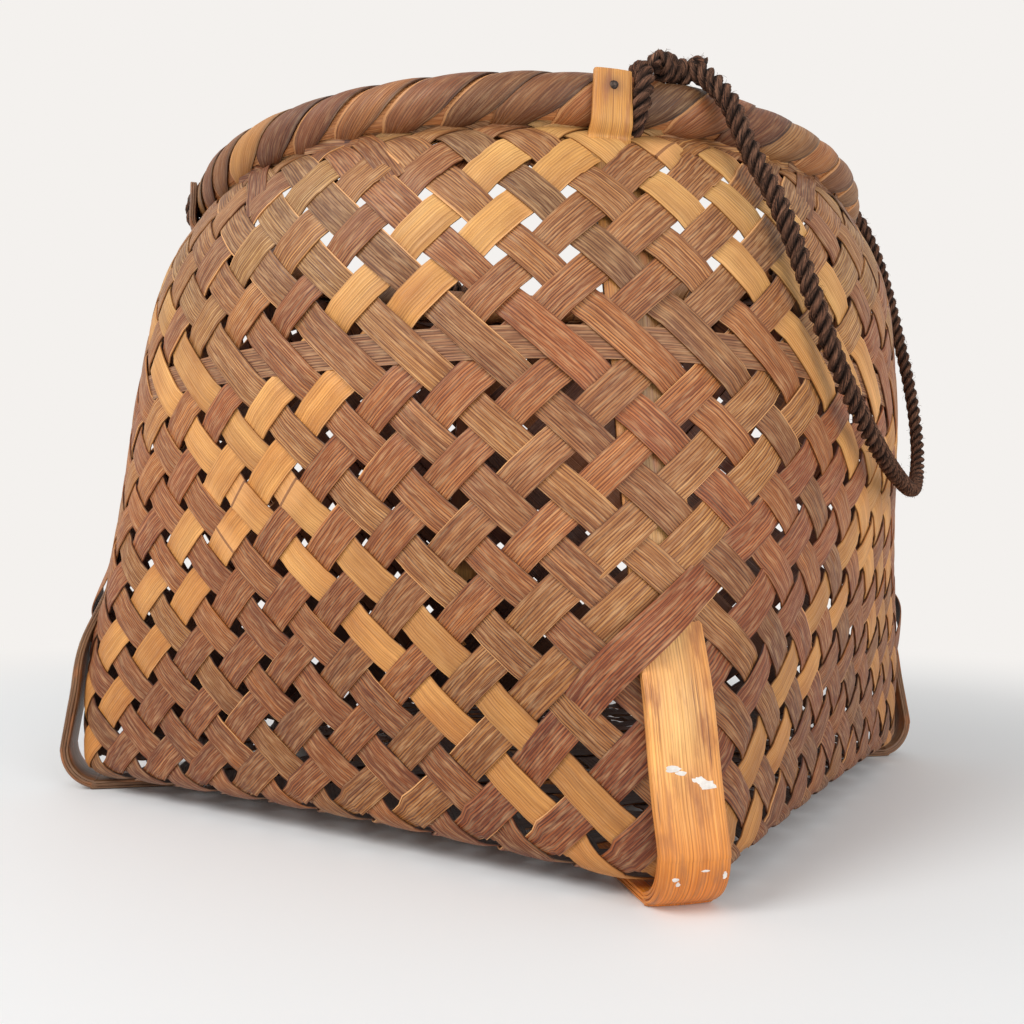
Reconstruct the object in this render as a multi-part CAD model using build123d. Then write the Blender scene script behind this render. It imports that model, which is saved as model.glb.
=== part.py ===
"""Plaited bamboo basket: square base, round mouth, two corner ribs, a wrapped rim and two rope handles.

Millimetres, +Z up. The origin is on the surface that the basket stands on, under the middle of its base.
The front face looks along -Y, and the right face, with the handle that shows, along +X.
"""
from build123d import *
import os
from math import atan2, cos, degrees, dist, pi, radians, sin, sqrt, tan

# Woven body: the outer surface and the wall of interlaced strands, as one closed shell
BASE_WIDTH = 300.0
BASE_CORNER_RADIUS = 32.0
BASE_EDGE_RADIUS = 9.0
BASE_CLEARANCE = 5.0
BASE_RISE = 7.0
BELLY_WIDTH = 340.0
BELLY_HEIGHT = 170.0
WALL = 3.0
SHOULDER_FULLNESS = 3.6
SHOULDER_REACH = 0.93
CORNER_FADE = 0.40
CORNER_FADE_POWER = 2.8

# Rim: hoops on both sides of the wall's top edge, with a wrapping strip round them
RIM_RADIUS = 146.0
RIM_HEIGHT = 260.6
ROLL_RADIUS = 11.0
WRAP_THICKNESS = 0.8
WRAP_TURNS = 24
WRAP_WIDTH = 30.0
WRAP_SIDES = 12
HOOP_REACH = 7.0
HOOP_HEIGHT = 17.2
RIM_CLEARANCE = 0.3
EDGE_ABOVE_RIM = 7.0

# Waist hoop, let into the wall
WAIST_BELOW_BELLY = 1.0
WAIST_BAND = 11.0
WAIST_THICKNESS = 1.2
WAIST_CLEARANCE = 0.1

# Openings in the walls: a plain grid, fewer and larger than the holes between the plaited strands
MESH_COLUMNS = 8
MESH_PITCH = 26.0
MESH_RISE = 22.65
MESH_OPENING = 7.2
MESH_BELOW_NECK = 30.0

# Corner ribs: each runs down one corner, under the base and up the opposite corner
RIB_WIDTH = 20.0
RIB_THICKNESS = 3.6
RIB_GAP = 1.5
RIB_TURN_IN = 225.0
RIB_EXIT_HIGH = 108.0
RIB_EXIT_LOW = 84.0
FOOT_STANDOFF = 8.0
FOOT_BEND_RADIUS = 11.0
CROSSING_GAP = 0.3
STRAP_WIDTH = 13.6
STRAP_SHIFT = 9.3
STRAP_GAP = 0.5
STRAP_ABOVE = 7.0
SLOT_CLEARANCE = 0.45

# Nails that hold the straps on the rim
NAIL_HEAD_RADIUS = 1.8
NAIL_HEAD_HEIGHT = 1.0
NAIL_SHANK_RADIUS = 0.8
NAIL_LENGTH = 9.0
NAIL_ABOVE_RIM = 1.4
NAIL_CLEARANCE = 0.1

# Rope handles: a turn of rope and a knot on the rim at each end of a free loop
ROPE_DIAMETER = 6.5
LASHING_SHIFT = 1.4
LASHING_GAP = 0.4
KNOT_LENGTH = 12.6
KNOT_RADIUS = 6.6
KNOT_OFFSET = 2.5
KNOT_SLANT = 17.0
KNOT_ROUNDING = 2.0
STUB_LENGTH = 2.5
STUB_RADIUS = 2.8

# Centre line of the right handle's rope, from its knot near the front to its knot near the back
ROPE_ROUTE = [
    (119.5, -89.0, 277.5),
    (119.5, -81.7, 277.5),
    (122.0, -74.5, 277.5),
    (129.0, -72.0, 277.0),
    (135.0, -75.5, 275.5),
    (137.5, -82.5, 271.0),
    (138.5, -88.0, 262.5),
    (141.0, -88.0, 251.0),
    (145.5, -87.5, 239.0),
    (152.5, -87.0, 223.0),
    (160.5, -84.0, 198.0),
    (166.0, -75.0, 174.5),
    (171.5, -59.5, 154.5),
    (174.5, -35.0, 141.0),
    (175.5, -6.0, 133.5),
    (175.0, 24.5, 130.5),
    (172.5, 49.0, 136.0),
    (170.5, 68.0, 153.0),
    (166.0, 77.5, 181.0),
    (159.5, 80.5, 210.5),
    (154.0, 81.5, 235.0),
    (148.5, 79.5, 254.5),
    (142.5, 76.0, 268.5),
    (135.8, 72.5, 275.5),
    (128.3, 71.2, 278.0),
    (121.8, 74.7, 277.7),
    (119.5, 81.8, 277.5),
    (119.5, 89.0, 277.5),
]

ROOT2 = sqrt(2.0)
HALF_BASE = BASE_WIDTH / 2
HALF_BELLY = BELLY_WIDTH / 2
HALF_BASE_DIAGONAL = ROOT2 * HALF_BASE - BASE_CORNER_RADIUS * (ROOT2 - 1)
HALF_NECK = RIM_RADIUS + WALL / 2
NECK_HEIGHT = RIM_HEIGHT - ROLL_RADIUS + 0.4
WAIST_HEIGHT = BELLY_HEIGHT - WAIST_BELOW_BELLY
ROPE_RADIUS = ROPE_DIAMETER / 2
STEP_ROUND = 2 * pi / WRAP_SIDES
STEP_ALONG = 2 * pi / (WRAP_TURNS * WRAP_SIDES)
WRAP_START = pi - STEP_ROUND / 2
RIM_NEAR = ROLL_RADIUS + STRAP_GAP + RIB_THICKNESS / 2
DOME_SPAN = HALF_BASE_DIAGONAL - BASE_EDGE_RADIUS
DOME_RADIUS = (DOME_SPAN ** 2 + BASE_RISE ** 2) / (2 * BASE_RISE)


def smooth(share):
    """Ease from 0 to 1 with level ends."""
    share = min(max(share, 0.0), 1.0)
    return share * share * (3 - 2 * share)


def half_width(z):
    """Half the body's outer width across its faces, at a height."""
    if z <= BELLY_HEIGHT:
        share = smooth((z - BASE_CLEARANCE) / (BELLY_HEIGHT - BASE_CLEARANCE))
        return HALF_BASE + (HALF_BELLY - HALF_BASE) * share
    end = sqrt(1 - SHOULDER_REACH ** SHOULDER_FULLNESS)
    share = min((z - BELLY_HEIGHT) / (NECK_HEIGHT - BELLY_HEIGHT), 1.0) * SHOULDER_REACH
    drop = (sqrt(1 - share ** SHOULDER_FULLNESS) - end) / (1 - end)
    return HALF_NECK + (HALF_BELLY - HALF_NECK) * drop


def half_diagonal(z):
    """Half the body's outer width across its corners, at a height."""
    share = (z - BASE_CLEARANCE) / (NECK_HEIGHT - BASE_CLEARANCE)
    share = min(max(share, 0.0), 1.0)
    excess = HALF_BASE_DIAGONAL / HALF_BASE - 1
    excess *= (1 - share ** 8) / (1 + (share / CORNER_FADE) ** CORNER_FADE_POWER)
    return half_width(z) * (1 + excess)


def outline(level, inset, z=None):
    """Rounded square of eight tangent arcs, set in from the body's outer surface at a level."""
    z = level if z is None else z
    width = half_width(level)
    diagonal = half_diagonal(level)
    squareness = (diagonal / width - 1) / (ROOT2 - 1)
    turn = pi / 8 * (1 - squareness) ** 2
    difference = (diagonal - width) / (cos(turn) + (ROOT2 - 1) * sin(turn) - 1)
    reach = difference * sin(turn)
    corner = diagonal - ROOT2 * reach
    side = corner + difference

    def spot(centre, radius, angle, quarter):
        x = centre[0] + (radius - inset) * cos(angle)
        y = centre[1] + (radius - inset) * sin(angle)
        base = quarter * pi / 2
        return (x * cos(base) - y * sin(base), x * sin(base) + y * cos(base), z)

    edges = []
    for quarter in range(4):
        flat = [spot((width - side, 0), side, a, quarter) for a in (-turn, 0, turn)]
        bend = [spot((reach, reach), corner, a, quarter) for a in (turn, pi / 4, pi / 2 - turn)]
        edges.append(Edge.make_three_point_arc(*flat))
        edges.append(Edge.make_three_point_arc(*bend))
    return Wire(edges)


def body_form(inset):
    """The body's outer form, or with an inset its cavity, from the base's edge up between the hoops."""
    centre = BASE_CLEARANCE + BASE_EDGE_RADIUS
    radius = BASE_EDGE_RADIUS - inset
    steps = 6
    wires = []
    for angle in (0, pi / 6, pi / 3, pi / 2):
        set_in = BASE_EDGE_RADIUS - radius * sin(angle)
        wires.append(outline(centre - radius * cos(angle), set_in))
    for step in range(1, steps + 1):
        wires.append(outline(centre + (BELLY_HEIGHT - centre) * step / steps, inset))
    for step in range(1, steps + 1):
        share = sin(pi / 2 * step / steps)
        wires.append(outline(BELLY_HEIGHT + (NECK_HEIGHT - BELLY_HEIGHT) * share, inset))
    top = RIM_HEIGHT + EDGE_ABOVE_RIM + (1.0 if inset else 0.0)
    wires.append(outline(NECK_HEIGHT, inset, top))
    return Solid.make_loft(wires, True)


def base_dome(radius):
    """Ball whose top gives the base its raised middle."""
    centre = BASE_CLEARANCE + BASE_RISE - DOME_RADIUS
    return Pos(0, 0, centre) * Rot(0, 90, 0) * Solid.make_sphere(radius)


def at_corner(quarter, s, lateral, z):
    """Point at distance s from the middle towards a corner, shifted sideways along the rim."""
    angle = radians(90 * quarter - 45)
    return Vector(s * cos(angle) - lateral * sin(angle), s * sin(angle) + lateral * cos(angle), z)


def strap_side(quarter):
    """The straps stand on the front and back sides of their corners, away from the handles."""
    return -1 if quarter % 2 == 0 else 1


def ribbon(sections):
    """Solid strip through a row of straight-edged sections."""
    return Solid.make_loft([Wire.make_polygon(corners, close=True) for corners in sections], True)


def rib_inside(z):
    """Distance from the middle of a rib that lies against the wall's inner side."""
    return half_diagonal(z) - WALL - RIB_GAP - RIB_THICKNESS / 2


def half_rib(rise):
    """Points from the strap on the rim to the middle of the base.

    Each point is a distance from the middle, a height, a half width and a share of the strap's shift.
    """
    strap_at = RIM_RADIUS + RIM_NEAR
    full = RIB_WIDTH / 2
    points = [
        (strap_at, RIM_HEIGHT + STRAP_ABOVE, STRAP_WIDTH / 2, 1.0),
        (strap_at, NECK_HEIGHT, STRAP_WIDTH / 2, 1.0),
        (strap_at + 1.4, NECK_HEIGHT - 10, STRAP_WIDTH / 2, 1.0),
    ]
    for share in (0.0, 0.25, 0.5, 0.75, 1.0):
        z = RIB_TURN_IN + (RIB_EXIT_HIGH - RIB_TURN_IN) * share
        half = full if share else (full + STRAP_WIDTH / 2) / 2
        points.append((rib_inside(z), z, half, 0.9 * (1 - share)))
    out_low = half_diagonal(RIB_EXIT_LOW) + RIB_GAP + RIB_THICKNESS / 2
    points.append((out_low, RIB_EXIT_LOW, full, 0.0))
    foot = half_diagonal(BASE_CLEARANCE) + FOOT_STANDOFF - RIB_THICKNESS / 2
    bend_z = FOOT_BEND_RADIUS + RIB_THICKNESS / 2
    lean = atan2(foot - out_low, RIB_EXIT_LOW - bend_z)
    steps = 6
    for step in range(steps + 1):
        angle = lean - (lean + pi / 2) * step / steps
        s = foot - FOOT_BEND_RADIUS + FOOT_BEND_RADIUS * cos(angle)
        z = bend_z + FOOT_BEND_RADIUS * sin(angle)
        points.append((s, z, full, 0.0))
    points.append((RIB_WIDTH * 2.4, RIB_THICKNESS / 2, full, 0.0))
    points.append((RIB_WIDTH * 0.7, RIB_THICKNESS / 2 + rise, full, 0.0))
    return points


def rib_sections(quarter, rise, extra=0.0):
    """Corners of a whole rib's sections, from the strap at one corner to the strap opposite."""
    half = half_rib(rise)
    path = half + [(-s, z, width, -shift) for s, z, width, shift in reversed(half)]
    side = strap_side(quarter)
    sections = []
    for index, (s, z, width, shift) in enumerate(path):
        turns = []
        for here, there in ((index - 1, index), (index, index + 1)):
            if here >= 0 and there < len(path):
                turns.append(atan2(path[there][1] - path[here][1], path[there][0] - path[here][0]))
        if turns[-1] - turns[0] > pi:
            turns[-1] -= 2 * pi
        if turns[0] - turns[-1] > pi:
            turns[-1] += 2 * pi
        along = (turns[0] + turns[-1]) / 2
        thick = (RIB_THICKNESS / 2 + extra) / cos((turns[-1] - turns[0]) / 2)
        corners = []
        for across, out in ((-1, -1), (1, -1), (1, 1), (-1, 1)):
            corners.append(at_corner(quarter,
                                     s - sin(along) * thick * out,
                                     side * STRAP_SHIFT * shift + across * (width + extra),
                                     z + cos(along) * thick * out))
        sections.append(corners)
    return sections


def slot_cutters(quarter):
    """Enlarged stretches of a rib, where it passes out through the wall, high and low, at both ends."""
    sections = rib_sections(quarter, 0.0, SLOT_CLEARANCE)
    last = len(sections)
    spans = [(1, 5), (6, 10), (last - 10, last - 6), (last - 5, last - 1)]
    return [ribbon(sections[first:end]) for first, end in spans]


def wrap_section(index):
    """Corners of the wrapping strip's straight section, a step round the roll from the one before.

    Inside the rim the corners are let in towards the roll, so that the straight edge between them is no
    further out than the roll.
    """
    half = WRAP_WIDTH / RIM_RADIUS / 2
    round_roll = WRAP_START + index * STEP_ROUND
    along = index * STEP_ALONG
    let_in = (1 / cos(half) - 1) * (1 - cos(round_roll)) / 2
    corners = []
    for radius, shift in ((ROLL_RADIUS - WRAP_THICKNESS, -half), (ROLL_RADIUS - WRAP_THICKNESS, half),
                          (ROLL_RADIUS, half), (ROLL_RADIUS, -half)):
        reach = (RIM_RADIUS + radius * cos(round_roll)) * (1 + let_in)
        z = RIM_HEIGHT + radius * sin(round_roll)
        corners.append((reach * cos(along + shift), reach * sin(along + shift), z))
    return corners


def wrap_windows():
    """Openings under the hoops, where each turn of the wrapping passes through the wall."""
    drop = (ROLL_RADIUS - WRAP_THICKNESS / 2) * cos(STEP_ROUND / 2)
    steps_to_bottom = (3 * pi / 2 - WRAP_START) / STEP_ROUND
    windows = []
    for turn in range(WRAP_TURNS):
        angle = degrees((steps_to_bottom + turn * WRAP_SIDES) * STEP_ALONG)
        box = Box(WALL + 6, WRAP_WIDTH + 3.0, WRAP_THICKNESS + 1.0)
        windows.append(Rot(0, 0, angle) * Pos(RIM_RADIUS, 0, RIM_HEIGHT - drop) * box)
    return windows


def roll_ring(radius):
    """Solid ring round the rim's centre line."""
    return Pos(0, 0, RIM_HEIGHT) * Solid.make_torus(RIM_RADIUS, radius)


def lashing_ring(quarter, radius):
    """One turn of rope round the rim, beside the strap at a corner."""
    lateral = -strap_side(quarter) * LASHING_SHIFT
    along = at_corner(quarter, 0, 1, 0)
    centre = at_corner(quarter, RIM_RADIUS, lateral, RIM_HEIGHT)
    plane = Plane(origin=centre, x_dir=(0, 0, 1), z_dir=along)
    return Solid.make_torus(ROLL_RADIUS + LASHING_GAP + ROPE_RADIUS, radius, plane)


def mesh_heights():
    """Heights of the rows of openings, counted up and down from the waist hoop, which has none behind it."""
    lowest = BASE_CLEARANCE + BASE_EDGE_RADIUS + MESH_OPENING
    heights = [WAIST_HEIGHT + step * MESH_RISE for step in range(-9, 6) if step != 0]
    return [z for z in heights if lowest < z < NECK_HEIGHT - MESH_BELOW_NECK]


def mesh_bars(turn):
    """Square bars, standing on edge, that open the front and back walls, or turned by 90, the sides."""
    bars = []
    for z in mesh_heights():
        for column in range(MESH_COLUMNS):
            aside = (column - (MESH_COLUMNS - 1) / 2) * MESH_PITCH
            bar = Rot(0, 45, 0) * Box(MESH_OPENING, BELLY_WIDTH + 2 * WALL, MESH_OPENING)
            bars.append(Rot(0, 0, turn) * Pos(aside, 0, z) * bar)
    return bars


def make_woven_body():
    wall = body_form(0.0) - base_dome(DOME_RADIUS)
    cavity = body_form(WALL) - base_dome(DOME_RADIUS + WALL)
    groove_low = WAIST_HEIGHT - WAIST_BAND / 2 - WAIST_CLEARANCE
    around = Face(outline(WAIST_HEIGHT, -WALL, groove_low),
                  [outline(WAIST_HEIGHT, WAIST_THICKNESS + WAIST_CLEARANCE, groove_low)])
    groove = Solid.extrude(around, Vector(0, 0, WAIST_BAND + 2 * WAIST_CLEARANCE))
    cutters = [cavity, groove]
    cutters += slot_cutters(0)
    cutters += slot_cutters(1)
    cutters += [lashing_ring(quarter, ROPE_RADIUS + LASHING_GAP) for quarter in range(4)]
    cutters += wrap_windows()
    body = wall.cut(*cutters)
    return body.cut(*mesh_bars(0)).cut(*mesh_bars(90))


def make_waist_hoop():
    low = WAIST_HEIGHT - WAIST_BAND / 2
    band = Face(outline(WAIST_HEIGHT, WAIST_CLEARANCE, low), [outline(WAIST_HEIGHT, WAIST_THICKNESS, low)])
    return Solid.extrude(band, Vector(0, 0, WAIST_BAND))


def make_rib(quarter):
    rise = RIB_THICKNESS + CROSSING_GAP if quarter else 0.0
    rib = ribbon(rib_sections(quarter, rise))
    return rib.cut(*[nail_shank(corner, NAIL_CLEARANCE) for corner in (quarter, quarter + 2)])


def make_hoop(side):
    """Half-round hoop, with its flat face against the wall; side is 1 outside and -1 inside."""
    flat = RIM_RADIUS + side * (WALL / 2 + RIM_CLEARANCE)
    low = (flat, 0, RIM_HEIGHT - HOOP_HEIGHT / 2)
    high = (flat, 0, RIM_HEIGHT + HOOP_HEIGHT / 2)
    out = (flat + side * HOOP_REACH, 0, RIM_HEIGHT)
    section = Face(Wire([Edge.make_three_point_arc(low, out, high), Edge.make_line(high, low)]))
    hoop = Solid.revolve(section, 360, Axis.Z)
    if side > 0:
        hoop = hoop.cut(*[nail_shank(quarter, NAIL_CLEARANCE) for quarter in range(4)])
    return hoop


def make_rim_wrap():
    wrap = ribbon([wrap_section(index) for index in range(WRAP_TURNS * WRAP_SIDES)])
    return wrap.cut(*[nail_shank(quarter, NAIL_CLEARANCE) for quarter in range(4)])


def nail_plane(quarter):
    """Plane of the strap's outer face at its nail, looking outwards."""
    lateral = strap_side(quarter) * STRAP_SHIFT
    reach = RIM_RADIUS + RIM_NEAR + RIB_THICKNESS / 2
    outward = at_corner(quarter, 1, 0, 0)
    return Plane(origin=at_corner(quarter, reach, lateral, RIM_HEIGHT + NAIL_ABOVE_RIM), z_dir=outward)


def nail_shank(quarter, clearance):
    plane = nail_plane(quarter)
    start = plane.offset(-NAIL_LENGTH - clearance)
    return Solid.make_cylinder(NAIL_SHANK_RADIUS + clearance, NAIL_LENGTH + 2 * clearance, start)


def make_nail(quarter):
    head = Solid.make_cylinder(NAIL_HEAD_RADIUS, NAIL_HEAD_HEIGHT, nail_plane(quarter))
    outer_edge = head.edges().sort_by(Axis(head.center(), at_corner(quarter, 1, 0, 0)))[-1:]
    head = head.fillet(NAIL_HEAD_HEIGHT * 0.45, outer_edge)
    return head.fuse(nail_shank(quarter, 0.0))


def make_lashing(quarter):
    return lashing_ring(quarter, ROPE_RADIUS)


def make_knot(end, mirror):
    """Knot on the rim that one end of a handle's rope runs out of; end is -1 near the front."""
    exit_point, next_point = [Vector(*point) for point in (ROPE_ROUTE if end < 0 else ROPE_ROUTE[::-1])[:2]]
    slant = radians(KNOT_SLANT)
    away = Vector(-sin(slant), end * cos(slant), 0)
    middle = exit_point - Vector(KNOT_OFFSET, 0, 0)
    start = middle - away * KNOT_RADIUS
    lump = Solid.make_cylinder(KNOT_RADIUS, KNOT_LENGTH + KNOT_RADIUS, Plane(origin=start, z_dir=away))
    lump = lump.fillet(KNOT_ROUNDING, lump.edges().sort_by(Axis(start, away))[-1:])
    lump = lump.split(Plane(origin=exit_point, z_dir=exit_point - next_point), Keep.TOP)
    foot = middle + away * KNOT_LENGTH / 2
    stub = Solid.make_cylinder(STUB_RADIUS, KNOT_RADIUS + STUB_LENGTH, Plane(origin=foot, z_dir=(0, 0, 1)))
    knot = lump.fuse(stub).cut(roll_ring(ROLL_RADIUS + RIM_CLEARANCE))
    return Rot(0, 0, 180) * knot if mirror else knot


def make_rope(mirror):
    """Free loop of rope as straight runs joined by tangent arcs."""
    route = [Vector(*point) for point in ROPE_ROUTE]
    radii = []
    for before, here, after in zip(route, route[1:], route[2:]):
        turn = radians((here - before).get_angle(after - here))
        run = min((here - before).length, (after - here).length)
        radii.append(0.45 * run / tan(turn / 2))
    path = FilletPolyline(*route, radius=radii).wire()
    start = Plane(origin=path @ 0, z_dir=path % 0)
    rope = Solid.sweep(Face(Wire.make_circle(ROPE_RADIUS, start)), path)
    ideal = pi * ROPE_RADIUS ** 2 * path.length
    print("rope: length %.1f, volume %.0f, section times length %.0f" % (path.length, rope.volume, ideal))
    print("rope: bend radii", " ".join("%.1f" % radius for radius in radii))
    return Rot(0, 0, 180) * rope if mirror else rope


def least_wrap_gap():
    """Least distance between the corners of neighbouring turns of the wrapping strip."""
    sections = [wrap_section(index) for index in range(WRAP_TURNS * WRAP_SIDES)]
    least = RIM_RADIUS
    for index in range(len(sections) - WRAP_SIDES - 2):
        for step in range(-2, 3):
            for here in sections[index]:
                for there in sections[index + WRAP_SIDES + step]:
                    least = min(least, dist(here, there))
    return least


def write(name, *solids):
    shape = solids[0] if len(solids) == 1 else Compound(children=list(solids))
    export_step(shape, os.path.join("parts", name + ".step"))


def main():
    os.makedirs("parts", exist_ok=True)
    write("woven_body", make_woven_body())
    write("waist_hoop", make_waist_hoop())
    write("corner_rib_near_far", make_rib(0))
    write("corner_rib_right_left", make_rib(1))
    write("rim_outer_hoop", make_hoop(1))
    write("rim_inner_hoop", make_hoop(-1))
    write("rim_wrap", make_rim_wrap())
    write("rim_nails", *[make_nail(quarter) for quarter in range(4)])
    print("rim wrap: least gap between turns %.1f" % least_wrap_gap())
    names = ("near", "right", "far", "left")
    for quarter, name in enumerate(names):
        write("lashing_" + name, make_lashing(quarter))
    write("knot_near", make_knot(-1, False))
    write("knot_right", make_knot(1, False))
    write("knot_far", make_knot(-1, True))
    write("knot_left", make_knot(1, True))
    write("right_rope", make_rope(False))
    write("left_rope", make_rope(True))


main()
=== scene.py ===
"""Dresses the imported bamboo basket: plaited strands, wrapped rim, ribs, ropes, materials, light and camera.

Shapes are worked out in millimetres, in the frame of the CAD model, and add_mesh turns them into metres.
The woven surface is charted in cells of the plait: u runs round the basket from its left corner, counter
clockwise and 11 to a face, and v runs up the wall from the edge of the base, which lies below zero.
"""
import random
from math import atan2, ceil, cos, pi, radians, sin, sqrt

import bpy
import numpy as np
from mathutils import Matrix, Vector


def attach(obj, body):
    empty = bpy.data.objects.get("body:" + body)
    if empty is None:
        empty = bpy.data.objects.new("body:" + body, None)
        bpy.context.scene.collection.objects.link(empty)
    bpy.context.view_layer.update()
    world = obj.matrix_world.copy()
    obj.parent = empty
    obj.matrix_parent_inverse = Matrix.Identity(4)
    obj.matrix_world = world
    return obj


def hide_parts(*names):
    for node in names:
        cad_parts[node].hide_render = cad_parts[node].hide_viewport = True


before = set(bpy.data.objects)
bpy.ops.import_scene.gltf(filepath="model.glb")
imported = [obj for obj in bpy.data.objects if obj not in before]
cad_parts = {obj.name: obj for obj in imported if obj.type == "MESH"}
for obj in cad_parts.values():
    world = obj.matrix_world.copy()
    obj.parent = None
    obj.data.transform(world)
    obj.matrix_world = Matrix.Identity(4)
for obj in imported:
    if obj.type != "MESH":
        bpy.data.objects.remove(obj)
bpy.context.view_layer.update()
random.seed(11)
noise = np.random.default_rng(11)

MM = 0.001
ROOT2 = sqrt(2.0)
UP = np.array([0.0, 0.0, 1.0])
# Distance to a joint of the bamboo where there is none, in millimetres
FAR = 99.0
# Share of a strip's width beyond which its points are on its edge
EDGE_SHARE = 0.47

# The body's form, with the same sizes as the CAD model's
BASE_WIDTH = 300.0
BASE_CORNER_RADIUS = 32.0
BASE_EDGE_RADIUS = 9.0
BASE_CLEARANCE = 5.0
BASE_RISE = 7.0
BELLY_WIDTH = 340.0
BELLY_HEIGHT = 170.0
WALL = 3.0
SHOULDER_FULLNESS = 3.6
SHOULDER_REACH = 0.93
CORNER_FADE = 0.40
CORNER_FADE_POWER = 2.8
RIM_RADIUS = 146.0
RIM_HEIGHT = 260.6
ROLL_RADIUS = 11.0
HALF_BASE = BASE_WIDTH / 2
HALF_BELLY = BELLY_WIDTH / 2
HALF_BASE_DIAGONAL = ROOT2 * HALF_BASE - BASE_CORNER_RADIUS * (ROOT2 - 1)
HALF_NECK = RIM_RADIUS + WALL / 2
NECK_HEIGHT = RIM_HEIGHT - ROLL_RADIUS + 0.4
DOME_SPAN = HALF_BASE_DIAGONAL - BASE_EDGE_RADIUS
DOME_RADIUS = (DOME_SPAN ** 2 + BASE_RISE ** 2) / (2 * BASE_RISE)

# The plait
FACE_CELLS = 11
ROUND_CELLS = 4 * FACE_CELLS
CELL_HEIGHT = 22.65
BASE_CELL = BASE_WIDTH / FACE_CELLS
EDGE_BEND = BASE_EDGE_RADIUS - WALL / 2
CORNER_TWIST = 0.15
TWIST_HEIGHT = 60.0
CROWDING_STARTS = 10.3
CROWDING = 0.7
TOP_CELL = 12.3
STRAND_WIDTH = 12.0
STRAND_THICKNESS = 0.7
WEAVE_LIFT = 0.47
HOOP_LIFT = 0.9
HOOP_ROW = 14.5
STEPS_PER_CROSSING = 9
NECK_FLARE = 3.0
# The crossing at each corner, in cells up the wall, where a strand passes over the rib as it comes out
RIB_CROSSING = 3.0
RIB_STRAND = 8
RIB_STRAND_SHIFT = 7.0
RIB_STRAND_SHARES = {-1: 0.15, 0: 1.0, 1: 0.5, 2: 0.2}
# Where the photo shows wider holes, and joints of the bamboo: leaning right or not, which strand, and height
WIDE_HOLES = (9.3, 8.9)
JOINTS = [(False, 10, 5.15), (False, 11, 5.15), (True, 0, 4.45), (True, -1, 5.15), (True, 0, 9.4),
          (False, 22, 10.4)]

# The rest
WAIST_HEIGHT = 169.0
WAIST_BAND = 11.0
RIB_WIDTH = 20.0
RIB_THICKNESS = 3.6
RIB_TURN_IN = 230.0
RIB_EXIT_HIGH = 92.0
RIB_EXIT_LOW = 63.0
RIB_LEAN = 2.6
# Heights where a rib's colours change: warm and worn at the foot, darkened by painted shade behind the weave,
# and the strap's own
RIB_WARM_BELOW = 50.0
RIB_BEHIND_FROM = 116.0
RIB_BEHIND_TO = 236.0
RIB_STRAP_ABOVE = 200.0
FOOT_STANDOFF = 8.0
FOOT_BEND_RADIUS = 16.0
STRAP_WIDTH = 13.6
STRAP_SHIFT = 9.3
STRAP_THICKNESS = 2.6
STRAP_ABOVE = 7.0
NAIL_ABOVE_RIM = 1.4
NAIL_RADIUS = 1.5
# The nail's rings, from the shank's end to the top of the head: place along the nail, and radius
NAIL_PROFILE = ((-6.0, 0.7), (0.0, 0.7), (0.02, NAIL_RADIUS), (0.45, NAIL_RADIUS), (0.85, NAIL_RADIUS * 0.72),
                (1.0, NAIL_RADIUS * 0.25))
ROLL_SHOWN = 10.0
WRAP_STRIPS = 46
WRAP_STEPS = 34
STRIP_ADVANCE = 58.0
STRIP_WIDTH = 20.4
ROPE_DIAMETER = 6.5
LAY_LENGTH = 14.0
# A rope's strands, their sizes as shares of its diameter
STRAND_COUNT = 3
STRAND_OFFSET = 0.25
STRAND_RADIUS = 0.265
# The rope's fullness along it, as shares of its length and of its diameter
ROPE_FULLNESS = ((0.0, 0.2, 0.45, 0.7, 1.0), (1.16, 1.1, 1.0, 0.88, 1.0))
LASHING_SHIFT = 1.4

# Centre line of the right handle's rope, from its knot near the front to its knot near the back
ROPE_ROUTE = [
    (119.5, -89.0, 277.5), (123.5, -89.8, 275.2), (128.2, -90.8, 270.6), (132.7, -91.2, 265.6),
    (136.7, -90.8, 259.5), (139.3, -89.7, 252.0), (141.9, -88.5, 244.5), (145.5, -87.5, 236.5),
    (152.5, -87.0, 223.0), (160.5, -84.0, 198.0), (166.0, -75.0, 174.5), (171.5, -59.5, 154.5),
    (174.5, -35.0, 141.0), (175.5, -6.0, 133.5), (175.0, 24.5, 130.5), (172.5, 49.0, 136.0),
    (170.5, 68.0, 153.0), (166.0, 77.5, 181.0), (159.5, 80.5, 210.5), (154.0, 81.5, 235.0),
    (148.5, 79.5, 254.5), (142.5, 76.0, 268.5), (135.8, 72.5, 275.5), (128.3, 71.2, 278.0),
    (121.8, 74.7, 277.7), (119.5, 81.8, 277.5), (119.5, 89.0, 277.5),
]

# The camera, found by fitting the photo's base corners, rim and weave; its place is in metres
FOCAL_PIXELS = 985.1
IMAGE_PIXELS = 1024
SENSOR = 36.0
CAMERA_PLACE = (0.2497, -0.4142, 0.1019)
CAMERA_YAW = 0.55505
CAMERA_PITCH = 0.04543
CAMERA_ROLL = 0.00906


def paint(red, green, blue):
    """A colour written as screen values from 0 to 255, as Blender's linear colour."""
    screen = [c / 255 for c in (red, green, blue)]
    return [((c + 0.055) / 1.055) ** 2.4 if c > 0.04 else c / 12.92 for c in screen] + [1.0]


def tint_of(colour, shade=1.0):
    return np.array(paint(*colour)[:3]) * shade


# Surface of the body

def smooth(share):
    share = np.clip(share, 0.0, 1.0)
    return share * share * (3 - 2 * share)


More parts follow.
